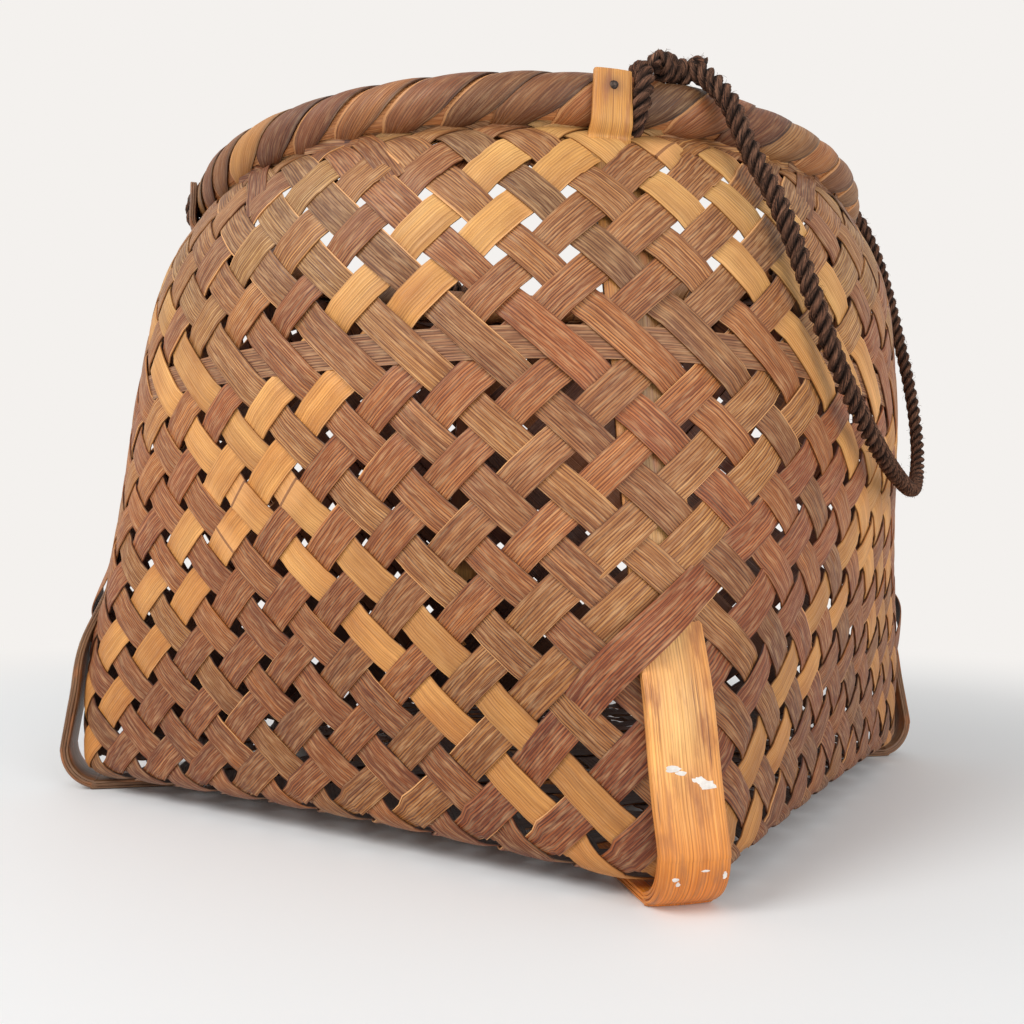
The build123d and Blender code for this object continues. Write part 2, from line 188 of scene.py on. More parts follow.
def half_width(z):
    share = smooth((z - BASE_CLEARANCE) / (BELLY_HEIGHT - BASE_CLEARANCE))
    low = HALF_BASE + (HALF_BELLY - HALF_BASE) * share
    end = sqrt(1 - SHOULDER_REACH ** SHOULDER_FULLNESS)
    share = np.clip((z - BELLY_HEIGHT) / (NECK_HEIGHT - BELLY_HEIGHT), 0, 1) * SHOULDER_REACH
    drop = (np.sqrt(1 - share ** SHOULDER_FULLNESS) - end) / (1 - end)
    return np.where(z <= BELLY_HEIGHT, low, HALF_NECK + (HALF_BELLY - HALF_NECK) * drop)


def half_diagonal(z):
    share = np.clip((z - BASE_CLEARANCE) / (NECK_HEIGHT - BASE_CLEARANCE), 0, 1)
    excess = (HALF_BASE_DIAGONAL / HALF_BASE - 1) * (1 - share ** 8)
    return half_width(z) * (1 + excess / (1 + (share / CORNER_FADE) ** CORNER_FADE_POWER))


def turn_by(x, y, angle):
    return x * np.cos(angle) - y * np.sin(angle), x * np.sin(angle) + y * np.cos(angle)


def outline_point(u, level, inset):
    """Point of the rounded square at a level, u cells round it, set in from the outer surface."""
    width = half_width(level)
    diagonal = half_diagonal(level)
    turn = pi / 8 * (1 - (diagonal / width - 1) / (ROOT2 - 1)) ** 2
    difference = (diagonal - width) / (np.cos(turn) + (ROOT2 - 1) * np.sin(turn) - 1)
    reach = difference * np.sin(turn)
    corner = diagonal - ROOT2 * reach
    side = corner + difference
    face = np.floor(u / FACE_CELLS)
    share = u / FACE_CELLS - face - 0.5
    flat = side * turn
    run = 2 * np.abs(share) * (flat + corner * (pi / 4 - turn))
    bent = run > flat
    angle = np.where(bent, turn + (run - flat) / corner, run / side)
    radius = np.where(bent, corner, side) - inset
    out = np.where(bent, reach, width - side) + radius * np.cos(angle)
    across = (np.where(bent, reach, 0) + radius * np.sin(angle)) * np.sign(share)
    return turn_by(out, across, (face - 1) * pi / 2)


def wall_rise(v):
    """Height run up the wall at v cells, with the strands crowding under the rim."""
    over = np.maximum(v - CROWDING_STARTS, 0)
    return CELL_HEIGHT * (np.minimum(v, CROWDING_STARTS) + CROWDING * (1 - np.exp(-over / CROWDING)))


def skin(face, u, v):
    """Points of the wall's middle surface, as x, y, z. face says which side's chart the base uses."""
    face, u, v = np.broadcast_arrays(face, u, v)
    rise = np.where(v > 0, wall_rise(v), v * BASE_CELL)
    bend = np.clip((rise + EDGE_BEND) / (2 * EDGE_BEND), 0, 1) * pi / 2
    height = np.where(rise > EDGE_BEND, rise, EDGE_BEND * (1 - np.cos(bend)))
    set_in = EDGE_BEND * (1 - np.sin(bend))
    z = BASE_CLEARANCE + WALL / 2 + height
    twist = CORNER_TWIST * smooth(z / TWIST_HEIGHT)
    wall_x, wall_y = outline_point(u - twist, z, WALL / 2 + set_in)
    # On the base, the square lattice is drawn in at its edge to the rounded outline
    along = (u - FACE_CELLS * face) * BASE_CELL - HALF_BASE
    back = np.minimum(rise, 0) + HALF_BASE
    flat_x, flat_y = turn_by(along, -back, face * pi / 2)
    span = np.maximum(np.maximum(np.abs(flat_x), np.abs(flat_y)), 1e-6)
    edge_x, edge_y = flat_x * HALF_BASE / span, flat_y * HALF_BASE / span
    limit = HALF_BASE - 1e-6
    side = np.where(edge_y <= -limit, 0, np.where(edge_x >= limit, 1, np.where(edge_y >= limit, 2, 3)))
    edge_along = np.choose(side, [edge_x, edge_y, -edge_x, -edge_y])
    edge_u = side * FACE_CELLS + np.clip((edge_along + HALF_BASE) / BASE_CELL, 0.001, FACE_CELLS - 0.001)
    round_x, round_y = outline_point(edge_u, np.full_like(edge_u, BASE_CLEARANCE), WALL / 2)
    share = (span / HALF_BASE) ** 4
    draw = 1 - (set_in + np.minimum(rise, 0)) / HALF_BASE * (rise > -EDGE_BEND)
    base_x = (flat_x + (round_x - edge_x) * share) * draw
    base_y = (flat_y + (round_y - edge_y) * share) * draw
    flare = 1 + NECK_FLARE / HALF_NECK * smooth((z - NECK_HEIGHT + 14) / 14)
    x = np.where(v > 0, wall_x * flare, base_x)
    y = np.where(v > 0, wall_y * flare, base_y)
    dome = np.sqrt(DOME_RADIUS ** 2 - np.minimum(x * x + y * y, DOME_SPAN ** 2)) - (DOME_RADIUS - BASE_RISE)
    z = z + np.maximum(dome, 0) * (1 - smooth(rise / 40))
    return np.stack([x, y, z], -1)


def unit(vectors):
    return vectors / np.linalg.norm(vectors, axis=-1, keepdims=True)


def skin_frame(face, u, v):
    """Points of the middle surface and its outward normals there."""
    step = 0.03
    along = skin(face, u + step, v) - skin(face, u - step, v)
    up = skin(face, u, v + step) - skin(face, u, v - step)
    return skin(face, u, v), unit(np.cross(along, up))


# Mesh helpers

def place_object(name, data):
    made = bpy.data.objects.new(name, data)
    bpy.context.scene.collection.objects.link(made)
    return made


def add_mesh(name, shape, material, stands_for=None, body="basket", smooth_angle=35):
    """Mesh object from its points in millimetres, faces and attributes of the points, riding on a body."""
    points, faces, attributes = shape
    mesh = bpy.data.meshes.new(name)
    mesh.from_pydata((points * MM).tolist(), [], faces)
    for key, values in attributes.items():
        values = np.asarray(values, np.float32)
        kind, field = ("FLOAT", "value") if values.ndim == 1 else ("FLOAT_VECTOR", "vector")
        mesh.attributes.new(key, kind, "POINT").data.foreach_set(field, values.ravel())
    mesh.polygons.foreach_set("use_smooth", [True] * len(mesh.polygons))
    mesh.update()
    mesh.set_sharp_from_angle(angle=radians(smooth_angle))
    mesh.materials.append(material)
    piece = place_object(name, mesh)
    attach(piece, body)
    if stands_for:
        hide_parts(stands_for)
    return piece


def circle(count):
    """Angles of even steps round a circle."""
    return np.arange(count) * 2 * pi / count


def around(first, second, angle):
    """Points of the circle, or ellipse, that two directions span, at angles from the first."""
    return first * np.cos(angle)[..., None] + second * np.sin(angle)[..., None]


def polar(reach, turn, z):
    """Points at a distance from the basket's axis."""
    return np.stack([reach * np.cos(turn), reach * np.sin(turn), z], -1)


def corner_frame(quarter):
    """Side of the strap at a corner, and the directions outward and sideways there."""
    angle = radians(90 * quarter - 45)
    outward = np.array([cos(angle), sin(angle), 0.0])
    return (-1 if quarter % 2 == 0 else 1), outward, np.cross(UP, outward)


def strip_faces(rows, columns, closed=False):
    """Quads of a tube of rings: columns points in each of rows rings, with end caps if it is open."""
    faces = []
    for row in range(rows if closed else rows - 1):
        here, there = row * columns, (row + 1) % rows * columns
        for column in range(columns):
            after = (column + 1) % columns
            faces.append((here + column, here + after, there + after, there + column))
    if not closed:
        faces += [tuple(reversed(range(columns))), tuple(range((rows - 1) * columns, rows * columns))]
    return faces


def tube(rings, along, across, layer, closed=False, **marks):
    """Points, faces and attributes of a tube, from an array of its rings of points.

    The grain is the place along and across the fibres, and a number of the piece's own. Each mark is a value
    for the whole piece or an array that spreads over rings and their points.
    """
    rows, columns = rings.shape[:2]
    marks["grain"] = np.stack(np.broadcast_arrays(along[:, None], across, layer), -1)
    attributes = {}
    for key, value in marks.items():
        size = (3,) if key in ("grain", "tint") else ()
        attributes[key] = np.broadcast_to(value, (rows, columns, *size)).reshape(rows * columns, *size)
    return rings.reshape(-1, 3), strip_faces(rows, columns, closed), attributes


def bamboo(*where, edge=0.0, inner=0.0, joint=FAR, **more):
    """Tube with the marks that bamboo needs: its cut edges, the points that face inwards, and its joints."""
    return tube(*where, edge=edge, inner=inner, joint=joint, **more)


def merge(parts):
    """Joins parts, each of points, faces and the same attributes, into one."""
    faces, first = [], 0
    for points, part_faces, _ in parts:
        faces += [tuple(index + first for index in face) for face in part_faces]
        first += len(points)
    attributes = {key: np.concatenate([marks[key] for _, _, marks in parts]) for key in parts[0][2]}
    return np.concatenate([points for points, _, _ in parts]), faces, attributes


def flow(points, steps):
    """Smooth curve through points: a Catmull-Rom spline with the given steps to a span."""
    points = np.asarray(points, float)
    padded = np.vstack([2 * points[0] - points[1], points, 2 * points[-1] - points[-2]])
    out = []
    for index in range(len(points) - 1):
        a, b, c, d = padded[index:index + 4]
        for t in np.linspace(0, 1, steps, endpoint=False):
            bend, skew = 2 * a - 5 * b + 4 * c - d, 3 * b - a - 3 * c + d
            out.append(0.5 * (2 * b + (c - a) * t + bend * t ** 2 + skew * t ** 3))
    out.append(points[-1])
    return np.array(out)


def lengths(points):
    """Distance run along a row of points."""
    return np.concatenate([[0], np.cumsum(np.linalg.norm(np.diff(points, axis=0), axis=1))])


def wobble(positions, spacing, size):
    """Smooth random curve along positions."""
    count = ceil(max(positions) / spacing) + 3
    return np.interp(positions, np.arange(count) * spacing, noise.normal(0, size, count))


# Plaited strands

BROWN = [(206, 136, 74), (218, 146, 77), (192, 120, 66), (204, 148, 87), (198, 120, 66), (222, 162, 92),
         (188, 130, 77), (202, 130, 70)]
PALE = [(252, 188, 108), (246, 178, 96)]
# Which strands round each corner show the pale skin side of the bamboo
PALE_AT = {0: (0,), 1: (0, 1), 2: (0, 1), 3: (0, 1, 10)}


def crossing_side(row, leaning_right):
    """1 where a strand runs outside at a crossing and -1 inside; rows are half cells up from the base."""
    odd = (row % 2 == 1) == (row <= HOOP_ROW)
    return np.where(odd == leaning_right, 1, -1)


def weave_lift(v, leaning_right, crosses_rib):
    """How far a strand's middle is off the middle surface, at heights v."""
    rows = 2 * v
    low = np.floor(rows).astype(int)
    share = smooth((rows - low - 0.5) / 0.36 + 0.5)
    before, after = crossing_side(low, leaning_right), crossing_side(low + 1, leaning_right)
    size = WEAVE_LIFT + (HOOP_LIFT - WEAVE_LIFT) * np.exp(-((rows - HOOP_ROW) / 1.2) ** 2)
    lift = (before + (after - before) * share) * size
    if crosses_rib and leaning_right:
        over = 1 - smooth(np.abs(v - RIB_CROSSING + 0.12) / 0.85)
        lift = np.where(over > 0, np.maximum(lift, WEAVE_LIFT + 5.0 * over), lift)
    elif crosses_rib:
        under = 1 - smooth(np.abs(v - RIB_CROSSING - 0.15) / 0.7)
        lift = np.where(under > 0, np.minimum(lift, -WEAVE_LIFT - 3.6 * under), lift)
    return lift


def strand_rows(corner, index):
    """Charted middle line of a strand, from the top of one wall under the base to the top of the next.

    Returns face, u, v, sideways u, sideways v, lift and whether it leans right, along the line.
    """
    depth = index / 2
    count = int((TOP_CELL + depth) * 2 * STEPS_PER_CROSSING) + 1
    down = np.linspace(TOP_CELL, -depth, count)
    sections = []
    for leaning_right, v in ((True, down), (False, down[::-1][1:])):
        start = FACE_CELLS * corner
        face = np.full_like(v, corner if leaning_right else corner - 1)
        u = start + index + v if leaning_right else start - index - v
        across = np.linalg.norm(skin(face, u + 0.4, v) - skin(face, u - 0.4, v), axis=-1) / 0.8
        rise = np.linalg.norm(skin(face, u, v + 0.2) - skin(face, u, v - 0.2), axis=-1) / 0.4
        across = np.where(v > 0.3, across, BASE_CELL)
        rise = np.where(v > 10, CELL_HEIGHT, np.where(v > 0.3, rise, BASE_CELL))
        diagonal = np.hypot(across, rise)
        side_u = rise / diagonal / across * (1 if leaning_right else -1)
        side_v = -across / diagonal / rise
        lift = weave_lift(v, leaning_right, index == RIB_STRAND)
        lift = np.where(v < -depth + 0.5, lift * smooth((v + depth) / 0.5), lift)
        sections.append(np.stack([face, u, v, side_u, side_v, lift, np.full_like(v, leaning_right)]))
    return np.concatenate(sections, axis=1)


def joint_share(corner, index, v, along, leaning_right):
    """Signed distance to the nearest joint of the bamboo, in millimetres."""
    nearest = np.full(len(v), FAR)
    for leans, strand, height in JOINTS:
        number = FACE_CELLS * corner + (index if leans else -index)
        if (number - strand) % ROUND_CELLS == 0:
            here = np.where(leaning_right == leans, np.abs(v - height), FAR)
            row = here.argmin()
            if here[row] < 0.2:
                run = along - along[row]
                nearest = np.where(np.abs(run) < np.abs(nearest), run, nearest)
    return nearest


def tone_by_height(v):
    """Colour factors at heights v: darker near the base and greyer towards the rim."""
    low = 1 - smooth((v - 0.5) / 5.5)
    high = smooth((v - 6.5) / 3.0)
    return np.stack([(1 - 0.36 * low) * (1 - 0.12 * high), (1 - 0.46 * low) * (1 + 0.08 * high),
                     (1 - 0.64 * low) * (1 + 0.3 * high)], -1)


def make_strand(number):
    """One strand, from the rim down one wall, under the base and up the next wall to the rim."""
    corner, index = divmod(number - 1, FACE_CELLS)
    pale = index in PALE_AT[corner]
    colour = tint_of(random.choice(PALE if pale else BROWN), random.uniform(0.98, 1.24))
    colour *= 0.87 if pale else 1.0
    face, u, v, side_u, side_v, lift, leaning_right = strand_rows(corner, index)
    along = lengths(skin(face, u, v))
    joint = joint_share(corner, index, v, along, leaning_right)
    holes = np.exp(-((u - WIDE_HOLES[0]) ** 2 + (v - WIDE_HOLES[1]) ** 2) / 1.3)
    width = STRAND_WIDTH * random.uniform(0.94, 1.06) + wobble(along, 70, 0.22)
    width *= (0.97 + 0.03 * smooth(v / 5) + 0.13 * smooth((v - 7.8) / 1.5)
              - 0.14 * smooth((v - 10.2) / 1.2) - 0.17 * holes)
    shift = wobble(along, 90, 0.4)
    raised = RIB_STRAND_SHIFT * RIB_STRAND_SHARES.get(index - RIB_STRAND, 0)
    shift -= raised * leaning_right * np.exp(-((v - RIB_CROSSING) / 1.9) ** 2)
    tilt = wobble(along, 45, 0.012)
    shares = np.array([-0.5, -0.43, -0.2, 0.0, 0.2, 0.43, 0.5])
    crown = 0.12 * (1 - (2 * shares) ** 2)
    ridge = 0.55 * np.exp(-(joint / 1.1) ** 2)
    rows = []
    for side in (1, -1):
        order = shares[::side]
        offset = order * width[:, None] + shift[:, None]
        points, normals = skin_frame(face[:, None], u[:, None] + side_u[:, None] * offset,
                                     v[:, None] + side_v[:, None] * offset)
        thickness = STRAND_THICKNESS * (1 - 0.2 * (np.abs(order) > EDGE_SHARE))
        height = (lift[:, None] + crown[::side] + side * thickness / 2
                  + (ridge[:, None] if side > 0 else 0) + tilt[:, None] * offset)
        rows.append(points + normals * height[..., None])
    ring = np.concatenate(rows, axis=1)
    across = np.append(shares, shares[::-1])
    inner = np.repeat([0.0, 1.0], len(shares))
    # Painted shade: faces that point inwards are darkened low down, and the whole strand is darkened just
    # under the rim
    painted_shade = 1 - 0.5 * inner * (1 - smooth((v - 0.5) / 5.5))[:, None]
    painted_shade *= 1 - (0.4 if pale else 0.22) * smooth((v - 10.3) / 1.0)[:, None]
    edged = random.choice((-1, -1, 0, 1))
    shown = np.clip(0.22 + wobble(along, 55, 0.4) + 0.4 * smooth((v - 7.5) / 2), 0, 1)
    edge = (across * edged > EDGE_SHARE) * shown[:, None]
    tint = (tone_by_height(v) ** (0.6 if pale else 1.0) * colour)[:, None] * painted_shade[..., None]
    add_mesh("strand_%02d" % number, bamboo(
        ring, along, across * STRAND_WIDTH, number * 53.0, tint=tint, pale=float(pale), edge=edge,
        inner=inner, joint=joint[:, None]), strand_material, "woven_body")


def ribbon(u, v, lift, width, colour, number):
    """Flat strip along a charted line."""
    points, normals = skin_frame(np.floor(u / FACE_CELLS), u, v)
    sideways = unit(np.cross(normals, np.gradient(points, axis=0)))
    shares = np.array([-0.5, -0.25, 0.25, 0.5])
    across = np.append(shares, shares[::-1])
    level = np.repeat([0.4, -0.4], len(shares)) * STRAND_THICKNESS
    ring = (points[:, None] + sideways[:, None] * (across * width)[:, None]
            + normals[:, None] * (lift[:, None] + level)[..., None])
    return bamboo(ring, lengths(points), across * width, number * 41.0, tint=colour, pale=0.0,
                  inner=level < 0)


def make_strand_ends():
    """Ends of the strands turned down under the rim and tucked in flat among the others."""
    parts = []
    for number in range(2 * ROUND_CELLS):
        lean = 1 if number % 2 else -1
        outside = random.random() < 0.3
        reach = random.uniform(1.3, 2.3)
        t = np.linspace(0, 1, 9)
        u = (number / 2 + random.uniform(-0.15, 0.15) + lean * reach * t) % ROUND_CELLS
        if np.ptp(u) > FACE_CELLS:
            continue
        v = 11.9 - random.uniform(1.0, 1.5) * t * (1 + 0.5 * t)
        lift = (2.0 - 1.7 * t ** 2) if outside else (-1.3 - random.uniform(0, 0.8) + 0 * t)
        choices = BROWN if random.random() < 0.8 else PALE
        # The ends are coloured darker than the strands: painted shade under the roll
        colour = tint_of(random.choice(choices), random.uniform(0.5, 0.85))
        parts.append(ribbon(u, v, lift, random.uniform(6.5, 10.5), colour, number))
    add_mesh("strand_ends", merge(parts), strand_material, "woven_body")


# Materials

class Tree:
    """Node tree of a material or the world. Inputs are sockets or constants, and colours screen values."""

    def __init__(self, owner):
        owner.use_nodes = True
        self.owner = owner
        self.nodes = owner.node_tree.nodes

    def feed(self, node, inputs):
        for key, value in inputs.items():
            socket = node.inputs[key]
            if isinstance(value, bpy.types.NodeSocket):
                self.owner.node_tree.links.new(value, socket)
            else:
                socket.default_value = paint(*value) if socket.type == "RGBA" else value

    def add(self, kind, inputs, output=0, **settings):
        made = self.nodes.new("ShaderNode" + kind)
        for key, value in settings.items():
            setattr(made, key, value)
        self.feed(made, inputs)
        return made.outputs[output]

    def attribute(self, name, output="Fac"):
        return self.add("Attribute", {}, output, attribute_name=name)

    def math(self, operation, *inputs, clamp=False):
        return self.add("Math", dict(enumerate(inputs)), operation=operation, use_clamp=clamp)

    def times(self, first, second):
        return self.math("MULTIPLY", first, second, clamp=True)

    def mix(self, share, first, second, mode="MIX"):
        return self.add("Mix", {0: share, 6: first, 7: second}, 2, data_type="RGBA", blend_type=mode)

    def darken(self, share, colour, shade):
        """Colour multiplied by a shade, as far as the share goes."""
        return self.mix(share, colour, self.mix(1.0, colour, shade, "MULTIPLY"))

    def noise(self, vector, scale, detail=2.0, low=0.0, high=1.0):
        """Noise, spread from low to high."""
        place = self.add("VectorMath", {0: vector, 1: scale}, operation="MULTIPLY")
        value = self.add("TexNoise", {"Vector": place, "Scale": 1.0, "Detail": detail}, "Fac")
        return self.add("MapRange", {"Value": value, "From Min": 0.3, "From Max": 0.7,
                                     "To Min": low, "To Max": high}, "Result")

    def finish(self, colour, roughness, bumps, strength, distance, **more):
        """Feeds the material's shader and gives back the material."""
        normal = self.add("Bump", {"Strength": strength, "Distance": distance, "Height": bumps}, "Normal")
        self.feed(self.nodes["Principled BSDF"],
                  {"Base Color": colour, "Roughness": roughness, "Normal": normal, **more})
        return self.owner


def bamboo_material(name, groove=0.5, gloss=0.5, fibre=1.0, edge_colour=(232, 170, 108), stains=0.0):
    """Split bamboo: fibres and grooves along the grain, blotches, scuffs, a pale cut edge, joints, and
    painted shade on faces that point inwards.
    """
    tree = Tree(bpy.data.materials.new(name))
    grain = tree.attribute("grain", "Vector")
    colour = tree.attribute("tint", "Vector")
    fine = tree.noise(grain, (0.014, 2.3, 1.0), 1.0, -0.5, 1.4)
    fibres = tree.noise(grain, (0.016, 1.2, 1.0), 2.0, -0.3, 1.1)
    bands = tree.noise(grain, (0.02, 0.2, 1.0))
    blotches = tree.noise(grain, (0.035, 0.07, 1.0), 3.0)
    scuffs = tree.noise(grain, (0.13, 0.9, 1.0), 6.0, -1.3, 1.7)
    # Dark lines side by side along the grain, bent a little by the bands
    across = tree.add("SeparateXYZ", {0: grain}, "Y")
    phase = tree.math("MULTIPLY_ADD", across, 6.6, tree.math("MULTIPLY", bands, 5.0))
    comb = tree.math("POWER", tree.math("MULTIPLY_ADD", tree.math("SINE", phase), 0.5, 0.5), 2.5)
    strength = tree.math("MULTIPLY_ADD", tree.attribute("pale"), -0.6 * fibre, fibre)
    colour = tree.darken(tree.times(fine, strength), colour, (192, 172, 154))
    colour = tree.darken(tree.times(comb, strength), colour, (168, 142, 122))
    colour = tree.darken(tree.times(fibres, strength), colour, (222, 210, 200))
    colour = tree.darken(bands, colour, (228, 226, 226))
    colour = tree.darken(blotches, colour, (218, 200, 184))
    worn = tree.times(scuffs, tree.math("MULTIPLY", strength, 0.17))
    colour = tree.mix(worn, colour, (232, 190, 140))
    if stains:
        smudge = tree.noise(grain, (0.06, 0.2, 1.0), 5.0, -2.0, 1.5)
        colour = tree.mix(tree.times(smudge, stains), colour, (164, 100, 54))
        cracks = tree.noise(grain, (0.03, 1.6, 1.0), 2.0, -6.0, 1.5)
        colour = tree.mix(tree.times(cracks, stains), colour, (120, 72, 40))
        colour = tree.mix(tree.attribute("rust"), colour, (112, 70, 44))
    near = tree.math("ABSOLUTE", tree.attribute("joint"))
    ring = tree.math("MULTIPLY", tree.math("LESS_THAN", near, 0.55), 0.75)
    halo = tree.math("MULTIPLY_ADD", near, -0.09, 0.62, clamp=True)
    colour = tree.mix(halo, colour, (236, 172, 108))
    colour = tree.mix(ring, colour, (112, 66, 40))
    edge = tree.math("MULTIPLY", tree.math("GREATER_THAN", tree.attribute("edge"), 0.4), 0.8)
    colour = tree.mix(edge, colour, edge_colour)
    # Painted shade: faces that point inwards, into the basket or behind the weave, are darkened
    colour = tree.darken(tree.attribute("inner"), colour, (142, 112, 90))
    rough = tree.math("MULTIPLY_ADD", fibres, 0.18, gloss)
    height = tree.math("MULTIPLY_ADD", fine, -0.6, tree.math("MULTIPLY", fibres, -0.8))
    return tree.finish(colour, rough, height, groove, 0.0002)


def rope_material():
    """Dark laid fibre, with lighter fibres along the strands and painted shade in the grooves between them.
    """
    tree = Tree(bpy.data.materials.new("rope_fibre"))
    grain = tree.attribute("grain", "Vector")
    fibres = tree.noise(grain, (0.22, 2.0, 1.0), 3.0, -0.15, 1.0)
    patches = tree.noise(grain, (0.05, 0.1, 1.0))
    colour = tree.mix(fibres, (30, 18, 15), (164, 118, 92))
    colour = tree.darken(patches, colour, (205, 190, 184))
    # Painted shade in the grooves between the strands
    depth = tree.math("MULTIPLY", tree.attribute("groove"), 0.85)
    colour = tree.mix(depth, colour, (16, 9, 8))
    return tree.finish(colour, 0.8, fibres, 0.9, 0.0005, **{"Specular IOR Level": 0.25})


def solid_material(name, first, second, scale, roughness, metallic=0.0):
    """Nails and paint: two colours mixed by noise in object space."""
    tree = Tree(bpy.data.materials.new(name))
    value = tree.noise(tree.add("TexCoord", {}, "Object"), (scale,) * 3, 3.0)
    colour = tree.mix(value, first, second)
    return tree.finish(colour, roughness, value, 0.4, 0.0003, Metallic=metallic)


# Waist hoop, ribs and rim

def make_waist_hoop():
    """Flat hoop between the outer and inner strands."""
    count = 352
    u = np.arange(count) * ROUND_CELLS / count
    heights = (-0.5, -0.4, 0.4, 0.5)
    ring = []
    for side in (1, -1):
        for share in heights[::side]:
            z = WAIST_HEIGHT + share * WAIST_BAND + 0.6 * np.sin(u * 2 * pi / ROUND_CELLS)
            x, y = outline_point(u, z, WALL / 2 - side * 0.4)
            ring.append(np.stack([x, y, z], -1))
    across = np.array(heights + heights[::-1]) * WAIST_BAND
    add_mesh("waist_hoop_band", bamboo(
        np.stack(ring, axis=1), np.arange(count) * 3.1, across, 7.0, True, tint=tint_of((186, 134, 92)),
        pale=0.2, inner=np.repeat([0.0, 1.0], len(heights))), strand_material, "waist_hoop")


def half_rib(rise):
    """Distance from the middle, height, half width, shift and half thickness, from strap to base middle."""
    slim, full = STRAP_THICKNESS / 2, RIB_THICKNESS / 2
    strap_at = RIM_RADIUS + ROLL_SHOWN + slim
    wide = RIB_WIDTH / 2 * 1.07
    points = [(strap_at - back, z, STRAP_WIDTH / 2 + more, STRAP_SHIFT, slim) for back, z, more in (
        (0, RIM_HEIGHT + STRAP_ABOVE, -0.2), (0, RIM_HEIGHT, 0), (0, NECK_HEIGHT, 0.5),
        (2.5, NECK_HEIGHT - 6, 0.9))]
    for share in np.linspace(0, 1, 5):
        z = RIB_TURN_IN + (RIB_EXIT_HIGH - RIB_TURN_IN) * share
        half = wide if share else (wide + STRAP_WIDTH / 2) / 2
        reach = half_diagonal(z) - WALL / 2 - 3.2
        points.append((reach, z, half, STRAP_SHIFT * 0.9 * (1 - share) + RIB_LEAN * share, 1.4))
    out_low = half_diagonal(RIB_EXIT_LOW) + 1.4
    foot = half_diagonal(BASE_CLEARANCE) + FOOT_STANDOFF - full
    bend_z = FOOT_BEND_RADIUS + full
    lean = atan2(foot - out_low, RIB_EXIT_LOW - bend_z)
    points += [(out_low, RIB_EXIT_LOW, wide, RIB_LEAN, 1.6),
               ((out_low + foot) / 2, (RIB_EXIT_LOW + bend_z) / 2, wide, RIB_LEAN / 2, full)]
    for angle in np.linspace(lean, -pi / 2, 8):
        points.append((foot - FOOT_BEND_RADIUS * (1 - cos(angle)), bend_z + FOOT_BEND_RADIUS * sin(angle),
                       wide, 0.0, full))
    return points + [(reach, z, wide, 0.0, full) for reach, z in (
        (foot - 60, full), (RIB_WIDTH * 2.4, full), (RIB_WIDTH * 0.7, full + rise))]


def make_rib(quarter, name, node_name, rise, colours, number):
    """Rib from a corner's strap to the strap opposite, split into layers that show at its edges."""
    colour, low_colour, high_colour = colours
    half = half_rib(rise)
    other = [(-reach, z, width, -shift, thick) for reach, z, width, shift, thick in reversed(half)]
    path = flow(half + other, 7)
    side, outward, sideways = corner_frame(quarter)
    centres = path[:, :1] * outward + side * path[:, 3:4] * sideways + path[:, 1:2] * UP
    run = unit(np.gradient(path[:, :2], axis=0))
    normal = run[:, 1:] * outward - run[:, :1] * UP
    along = lengths(centres)
    lean = wobble(along, 35, 0.15)
    ring = []
    section = rib_section()
    for share, level in section:
        width = 2 * path[:, 2] + wobble(along, 25, 0.10)
        crown = 0.45 * (1 - (2 * share) ** 2) * (level > 0)
        height = level * path[:, 4] + crown - 0.2 + 0.06 * wobble(along, 12, 1.0)
        ring.append(centres + sideways * (share * width + lean)[:, None] - normal * height[:, None])
    points = np.stack(ring, axis=1)
    points[..., 2] = np.maximum(points[..., 2], 0.05)
    shares, levels = np.array(section).T
    across = shares * RIB_WIDTH + levels * RIB_THICKNESS * (np.abs(shares) > EDGE_SHARE)
    z = centres[:, 2:]
    low = np.clip((RIB_WARM_BELOW - z) / 40, 0, 1)[..., None]
    high = np.clip((z - RIB_STRAP_ABOVE) / 35, 0, 1)[..., None]
    middle = 1 - low - high
    tint = colour * middle + low_colour * low + high_colour * high
    # Painted shade: the rib is darkened where it runs behind the weave
    behind = smooth((z - RIB_BEHIND_FROM) / 14) * (1 - smooth((z - RIB_BEHIND_TO) / 10))
    tint *= (1 - 0.6 * behind)[..., None]
    # The flanks are mixed toward the warm colour, leaving the middle paler: partly the bamboo's own colour,
    # partly a painted sheen down the middle
    flank = np.clip((np.abs(shares) - 0.12) / 0.3, 0, 1)[:, None] * 0.45 * middle
    tint = tint * (1 - flank) + low_colour * flank
    rust = 0.75 * np.exp(-((z - RIM_HEIGHT - NAIL_ABOVE_RIM) ** 2 + (shares * STRAP_WIDTH) ** 2) / 11)
    # Where the rib runs inside the wall its back faces are marked inner, and the material darkens them as
    # painted shade
    within = smooth((z - RIB_EXIT_HIGH) / 8) * (1 - smooth((z - RIB_TURN_IN - 4) / 8))
    add_mesh(name, bamboo(
        points, along, across, number * 91.0, tint=tint, pale=0.75 if number == 1 else 0.3, rust=rust,
        inner=within * (levels < 0.3)), rib_material, node_name)
    return centres, normal, sideways


def rib_section():
    """Shares across and levels through the rib's section, with fine steps between its layers at the edges."""
    top = [(share, 1.0) for share in (-0.46, -0.3, -0.1, 0.1, 0.3, 0.46)]
    right = [(0.5, 0.78), (0.5, 0.4), (0.475, 0.33), (0.5, 0.26), (0.5, -0.25), (0.475, -0.32), (0.5, -0.4),
             (0.49, -0.85)]
    bottom = [(share, -1.0) for share in (0.45, 0.15, -0.15, -0.45)]
    left = [(-share, level) for share, level in reversed(right)]
    return top + right + bottom + left


RIB_PALE = tint_of((255, 203, 128), 1.2)
RIB_WARM = tint_of((255, 158, 50), 1.1)
RIB_DULL = tint_of((150, 112, 76))
STRAP_COLOUR = tint_of((252, 186, 92))

